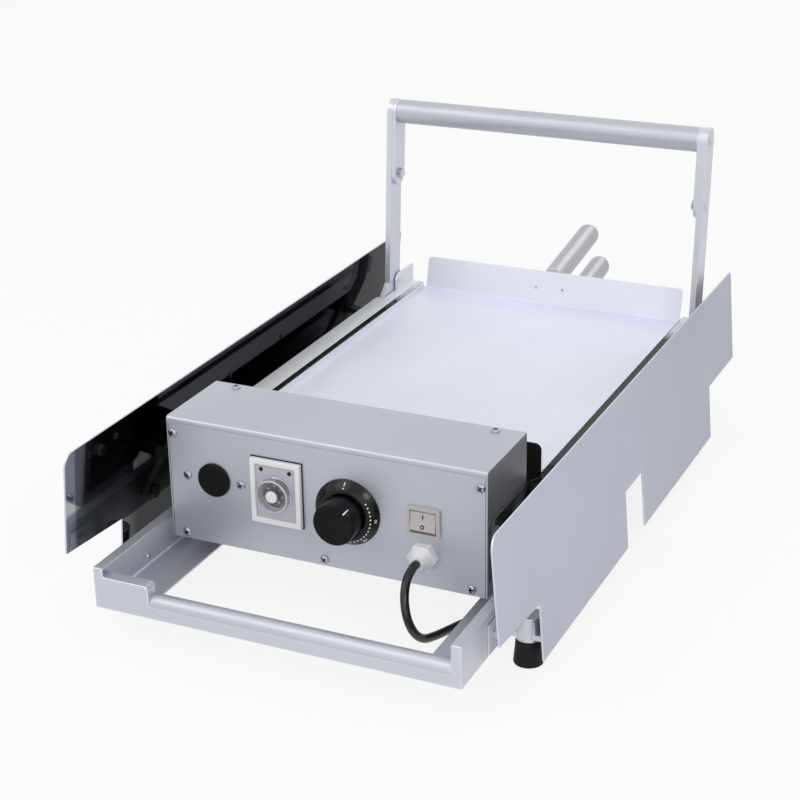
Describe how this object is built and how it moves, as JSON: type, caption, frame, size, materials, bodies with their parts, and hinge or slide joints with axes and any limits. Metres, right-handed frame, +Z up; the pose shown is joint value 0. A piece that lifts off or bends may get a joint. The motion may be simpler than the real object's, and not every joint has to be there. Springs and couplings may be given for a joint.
{
  "type": "bun toaster",
  "caption": "Batch bun toaster: a heated platen between two grip trays, a lever-lifted carriage, side panels and a front box with timer, thermostat and switch.",
  "frame": {"origin": "on the table under the feet, in the middle of the machine's width and length, cord left out", "axes": "+X to the right seen from the control box, +Y from the control box to the tray grips, +Z up"},
  "size_m": [0.4074, 0.8234, 0.3301],
  "materials": {
    "panel_steel": "satin stainless sheet",
    "box_steel": "satin stainless sheet",
    "bright_steel": "bright plated steel",
    "bracket_steel": "plain steel",
    "foot_rubber": "matt black rubber",
    "platen_iron": "dark heated plate",
    "element_steel": "grey sheathed element",
    "black_steel": "black painted sheet",
    "black_plastic": "black moulded plastic",
    "white_plastic": "white moulded plastic",
    "grey_plastic": "light grey moulded plastic",
    "clear_plastic": "clear moulded plastic",
    "copper_tube": "drawn copper",
    "beige_plastic": "beige moulded plastic",
    "cord_rubber": "black rubber",
    "tie_plastic": "dark plastic strap",
    "pin_brass": "bare brass",
    "lever_aluminium": "satin silver",
    "carriage_steel": "silver sheet",
    "tray_steel": "bright satin sheet",
    "grip_aluminium": "satin tube"
  },
  "bodies": {
    "machine": {"left_side_panel": "panel_steel", "right_side_panel": "panel_steel", "left_inner_wall": "panel_steel", "right_inner_wall": "panel_steel", "control_box_shell": "box_steel", "control_front_panel": "box_steel", "control_top_cover": "box_steel", "wall_bolts": "bright_steel", "panel_standoffs": "bright_steel", "pivot_studs": "bright_steel", "pivot_collars": "bright_steel", "foot_studs": "bright_steel", "front_panel_screws": "bright_steel", "top_cover_screws": "bright_steel", "buzzer_screws": "bright_steel", "foot_brackets": "bracket_steel", "platen_angles": "bracket_steel", "rubber_feet": "foot_rubber", "platen_top_plate": "platen_iron", "platen_bottom_plate": "platen_iron", "heating_elements": "element_steel", "heat_shield": "black_steel", "buzzer": "black_plastic", "thermostat_ring": "black_plastic", "timer_bezel": "white_plastic", "cable_gland": "white_plastic", "gland_lock_nut": "white_plastic", "terminal_block": "white_plastic", "timer_body": "grey_plastic", "thermostat_body": "grey_plastic", "contactor": "grey_plastic", "thermostat_bulb": "copper_tube", "switch_body": "beige_plastic", "power_cord": "cord_rubber", "power_cord_coil": "cord_rubber", "power_plug": "cord_rubber", "cord_tie": "tie_plastic", "plug_pins": "pin_brass"},
    "lever": {"left_lever_arm": "lever_aluminium", "right_lever_arm": "lever_aluminium", "handle_tube": "lever_aluminium", "handle_brackets": "lever_aluminium", "handle_bolts": "bright_steel"},
    "links": {"front_links": "lever_aluminium"},
    "carriage": {"carriage_left_rail": "carriage_steel", "carriage_right_rail": "carriage_steel", "carriage_front_wall": "carriage_steel", "carriage_grip_bar": "carriage_steel", "carriage_strap": "carriage_steel", "carriage_pins": "bright_steel", "rail_guide_plates": "carriage_steel", "rail_guide_bolts": "bright_steel"},
    "heel_tray": {"lower_tray": "tray_steel", "lower_tray_grip": "grip_aluminium"},
    "crown_tray": {"upper_tray": "tray_steel", "upper_tray_grip": "grip_aluminium"},
    "temperature_knob": {"thermostat_knob": "black_plastic", "thermostat_shaft": "bright_steel"},
    "time_dial": {"timer_dial": "clear_plastic"},
    "rocker": {"switch_rocker": "beige_plastic"}
  },
  "joints": [
    {"name": "lever_lift", "type": "hinge", "parent": "machine", "child": "lever", "pos_m": [0, 0.16997, 0.09782], "axis": [-1, 0, 0], "range_deg": [0, 17.74]},
    {"name": "link_swing", "type": "hinge", "parent": "machine", "child": "links", "pos_m": [0, -0.17203, 0.09782], "axis": [-1, 0, 0], "range_deg": [0, 17.74]},
    {"name": "carriage_level", "type": "hinge", "parent": "lever", "child": "carriage", "pos_m": [0, 0.1123, 0.0468], "axis": [-1, 0, 0], "range_deg": [-17.74, 0]},
    {"name": "heel_tray_slide", "type": "slide", "parent": "carriage", "child": "heel_tray", "axis": [0, 1, 0], "range_m": [0, 0.33]},
    {"name": "crown_tray_slide", "type": "slide", "parent": "machine", "child": "crown_tray", "axis": [0, 1, 0], "range_m": [0, 0.11]},
    {"name": "temperature_turn", "type": "hinge", "parent": "machine", "child": "temperature_knob", "pos_m": [0.0235, -0.31203, 0.11282], "axis": [0, 1, 0], "range_deg": [0, 280]},
    {"name": "time_turn", "type": "hinge", "parent": "machine", "child": "time_dial", "pos_m": [-0.043, -0.31203, 0.11882], "axis": [0, 1, 0], "range_deg": [0, 300]},
    {"name": "rocker_press", "type": "hinge", "parent": "machine", "child": "rocker", "pos_m": [0.0935, -0.30903, 0.11682], "axis": [1, 0, 0], "range_deg": [0, 16]}
  ],
  "couplings": [
    {"joint": "link_swing", "follows": "lever_lift", "ratio": 1},
    {"joint": "carriage_level", "follows": "lever_lift", "ratio": -1}
  ]
}
